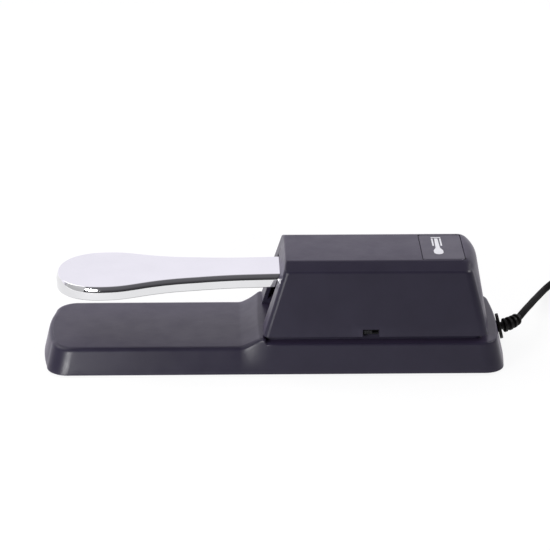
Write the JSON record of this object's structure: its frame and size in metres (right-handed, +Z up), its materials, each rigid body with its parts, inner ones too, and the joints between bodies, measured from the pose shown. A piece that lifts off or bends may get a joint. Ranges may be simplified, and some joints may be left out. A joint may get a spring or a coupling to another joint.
{
  "type": "sustain pedal",
  "caption": "Piano-style sustain pedal: chromed lever hinged inside a raised plastic housing on a long weighted base, with polarity slide switch and plugged cord.",
  "frame": {"origin": "middle of the base's footprint, on the surface that the rubber feet stand on", "axes": "+X along the base from the lever's tip to the cord, +Y across it away from the polarity switch, +Z up"},
  "size_m": [0.3598, 0.1371, 0.0593],
  "materials": {
    "casing": "fine spark texture, satin",
    "black_plastic": "satin moulded",
    "badge": "semi-gloss moulded panel with a plain printed pictogram",
    "rubber": "matte moulded rubber",
    "chrome": "polished plating",
    "steel": "zinc plated",
    "board": "solder mask",
    "cord_jacket": "matte PVC jacket"
  },
  "bodies": {
    "base": {"base_shell": "casing", "housing_cover": "casing", "badge_plate": "badge", "bottom_plate": "steel", "pivot_bracket": "steel", "pivot_axle": "steel", "axle_clip_1": "steel", "axle_clip_2": "steel", "spring_washer": "steel", "return_spring": "steel", "cover_screw_1": "steel", "cover_screw_2": "steel", "cover_screw_3": "steel", "cover_screw_4": "steel", "plate_screw_1": "steel", "plate_screw_2": "steel", "plate_screw_3": "steel", "plate_screw_4": "steel", "bracket_screw_1": "steel", "bracket_screw_2": "steel", "board_screw_1": "steel", "board_screw_2": "steel", "rubber_foot_1": "rubber", "rubber_foot_2": "rubber", "rubber_foot_3": "rubber", "rubber_foot_4": "rubber", "lower_stop_pad": "rubber", "upper_stop_pad": "rubber", "strain_relief": "rubber", "cord_tie": "rubber", "plug_sleeve": "chrome", "plug_tip": "chrome", "pedal_switch_body": "black_plastic", "polarity_switch_body": "black_plastic", "plug_handle": "black_plastic", "plug_insulator": "black_plastic", "circuit_board": "board", "inner_lead": "cord_jacket", "signal_wire": "cord_jacket", "ground_wire": "cord_jacket", "polarity_wire": "cord_jacket", "cord_run": "cord_jacket", "cord_coil": "cord_jacket", "cord_tail": "cord_jacket"},
    "lever": {"pedal_lever": "chrome", "pivot_bush": "black_plastic"},
    "plunger": {"switch_plunger": "black_plastic"},
    "slider": {"polarity_slider": "black_plastic"}
  },
  "joints": [
    {"name": "lever_hinge", "type": "hinge", "parent": "base", "child": "lever", "pos_m": [0.082, 0, 0.0426], "axis": [0, -1, 0], "range_deg": [0, 6.3], "stiffness_Nm_per_rad": 15, "springref_deg": -4.58, "deforming": ["return_spring"]},
    {"name": "plunger_slide", "type": "slide", "parent": "base", "child": "plunger", "axis": [0, 0, -1], "range_m": [0, 0.0034], "stiffness_N_per_m": 100, "springref_m": -0.001},
    {"name": "polarity_slide", "type": "slide", "parent": "base", "child": "slider", "axis": [1, 0, 0], "range_m": [0, 0.003]}
  ],
  "couplings": [
    {"joint": "plunger_slide", "follows": "lever_hinge", "m_per_rad": 0.03}
  ]
}
